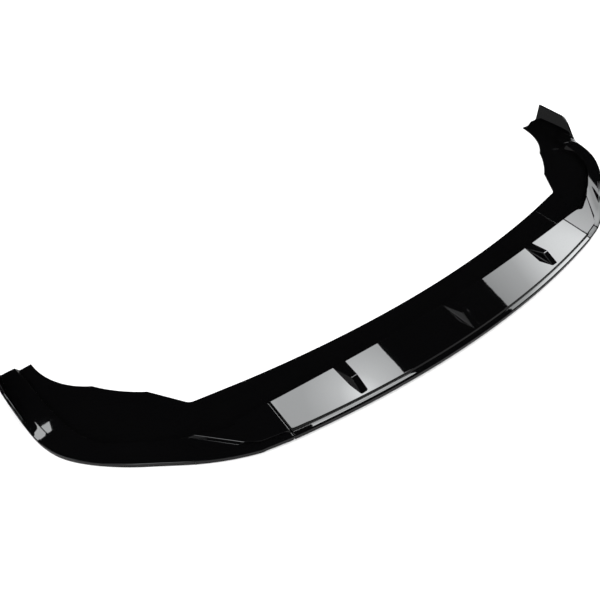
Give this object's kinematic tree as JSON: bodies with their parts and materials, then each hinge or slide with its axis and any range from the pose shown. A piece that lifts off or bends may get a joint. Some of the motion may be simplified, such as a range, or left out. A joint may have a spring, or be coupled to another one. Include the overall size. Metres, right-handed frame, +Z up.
{
  "type": "front splitter lip",
  "caption": "Front splitter lip in bolted sections: curved mounting flange, raised deck with wedge fins, and upswept end plates.",
  "frame": {"origin": "centre of the middle pilot recess, at the underside of the flange", "axes": "+X across the car to its left, -Y towards the leading edge, +Z up"},
  "size_m": [1.6664, 0.4887, 0.059],
  "materials": {
    "gloss_black": "high gloss",
    "zinc_steel": "bright zinc"
  },
  "bodies": {
    "root": {"centre_section": "gloss_black", "side_section_left": "gloss_black", "side_section_right": "gloss_black", "seam_bolts": "zinc_steel", "seam_washers": "zinc_steel", "seam_nuts": "zinc_steel"}
  },
  "joints": []
}
